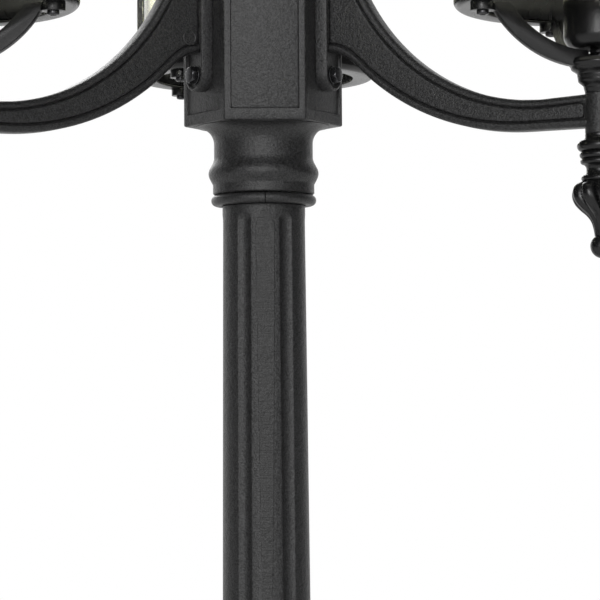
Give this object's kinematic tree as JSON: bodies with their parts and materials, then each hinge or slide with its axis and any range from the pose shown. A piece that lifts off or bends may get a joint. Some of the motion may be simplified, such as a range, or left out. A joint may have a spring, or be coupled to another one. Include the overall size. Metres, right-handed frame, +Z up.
{
  "type": "street clock",
  "caption": "Fluted lantern post with scroll arms, hinged glazed lanterns and a double-sided drum clock on a hexagonal pedestal.",
  "frame": {"origin": "centre of the foot's underside, on the post's axis at ground level", "axes": "+Z up along the post, -Y out of the front dial and the access door, +Y along the back arm"},
  "size_m": [0.8012, 0.7365, 2.996],
  "materials": {
    "cast_black": "satin",
    "black_fasteners": "satin",
    "fuse_box": "matte",
    "panes": "gloss",
    "ceramic": "gloss",
    "bulb": "satin",
    "movement": "satin",
    "dial": "satin",
    "clock_glass": "gloss",
    "arbor": "satin",
    "hands": "satin"
  },
  "bodies": {
    "post": {"pedestal": "cast_black", "door_hinge_pins": "black_fasteners", "fuse_unit": "fuse_box", "pedestal_cap": "cast_black", "column_shaft": "cast_black", "collar_ring": "cast_black", "neck": "cast_black", "hub_body": "cast_black", "hub_cap": "cast_black", "arm_right": "cast_black", "arm_left": "cast_black", "arm_back": "cast_black", "arm_bolts": "black_fasteners", "arm_washers": "black_fasteners", "pendant_right": "cast_black", "pendant_left": "cast_black", "pendant_back": "cast_black", "cradle_right": "cast_black", "cradle_left": "cast_black", "cradle_back": "cast_black", "pan_right": "cast_black", "pan_left": "cast_black", "pan_back": "cast_black", "cage_right": "cast_black", "cage_left": "cast_black", "cage_back": "cast_black", "panes_right": "panes", "panes_left": "panes", "panes_back": "panes", "lamp_cups": "cast_black", "lampholders": "ceramic", "bulbs": "bulb", "cradle_screws": "black_fasteners", "roof_hinge_pins": "black_fasteners", "clock_stem": "cast_black", "drum_case": "cast_black", "movement": "movement", "clock_finial": "cast_black", "bezel_hinge_pins": "black_fasteners", "front_dial": "dial", "rear_dial": "dial"},
    "access_door": {"access_door": "cast_black"},
    "door_lock": {"door_lock": "black_fasteners"},
    "roof_right": {"roof_right": "cast_black", "roof_finial_right": "cast_black"},
    "roof_left": {"roof_left": "cast_black", "roof_finial_left": "cast_black"},
    "roof_back": {"roof_back": "cast_black", "roof_finial_back": "cast_black"},
    "front_bezel": {"front_bezel": "cast_black", "front_glass": "clock_glass"},
    "rear_bezel": {"rear_bezel": "cast_black", "rear_glass": "clock_glass"},
    "front_minute": {"front_minute_arbor": "arbor", "front_minute_hand": "hands"},
    "rear_minute": {"rear_minute_arbor": "arbor", "rear_minute_hand": "hands"},
    "front_hour": {"front_hour_hand": "hands"},
    "rear_hour": {"rear_hour_hand": "hands"}
  },
  "joints": [
    {"name": "door_hinge", "type": "hinge", "parent": "post", "child": "access_door", "pos_m": [-0.06, -0.1369, 0.24], "axis": [0, 0, -1], "range_deg": [0, 110]},
    {"name": "lock_turn", "type": "hinge", "parent": "access_door", "child": "door_lock", "pos_m": [0.044, -0.13, 0.24], "axis": [0, 1, 0], "range_deg": [0, 90]},
    {"name": "roof_right_hinge", "type": "hinge", "parent": "post", "child": "roof_right", "pos_m": [0.38798, -0.224, 2.2], "axis": [0.5, 0.866, 0], "range_deg": [0, 100]},
    {"name": "roof_left_hinge", "type": "hinge", "parent": "post", "child": "roof_left", "pos_m": [-0.38798, -0.224, 2.2], "axis": [0.5, -0.866, 0], "range_deg": [0, 100]},
    {"name": "roof_back_hinge", "type": "hinge", "parent": "post", "child": "roof_back", "pos_m": [0, 0.448, 2.2], "axis": [-1, 0, 0], "range_deg": [0, 100]},
    {"name": "front_bezel_hinge", "type": "hinge", "parent": "post", "child": "front_bezel", "pos_m": [-0.245, -0.069, 2.655], "axis": [0, 0, -1], "range_deg": [0, 100]},
    {"name": "rear_bezel_hinge", "type": "hinge", "parent": "post", "child": "rear_bezel", "pos_m": [-0.245, 0.069, 2.655], "axis": [0, 0, 1], "range_deg": [0, 100]},
    {"name": "front_minute_turn", "type": "hinge", "parent": "post", "child": "front_minute", "pos_m": [0, -0.06, 2.655], "axis": [0, 1, 0], "continuous": true},
    {"name": "rear_minute_turn", "type": "hinge", "parent": "post", "child": "rear_minute", "pos_m": [0, 0.06, 2.655], "axis": [0, -1, 0], "continuous": true},
    {"name": "front_hour_turn", "type": "hinge", "parent": "post", "child": "front_hour", "pos_m": [0, -0.056, 2.655], "axis": [0, 1, 0], "continuous": true},
    {"name": "rear_hour_turn", "type": "hinge", "parent": "post", "child": "rear_hour", "pos_m": [0, 0.056, 2.655], "axis": [0, -1, 0], "continuous": true}
  ],
  "couplings": [
    {"joint": "rear_minute_turn", "follows": "front_minute_turn", "ratio": 1},
    {"joint": "front_hour_turn", "follows": "front_minute_turn", "ratio": 0.083333},
    {"joint": "rear_hour_turn", "follows": "front_minute_turn", "ratio": 0.083333}
  ]
}
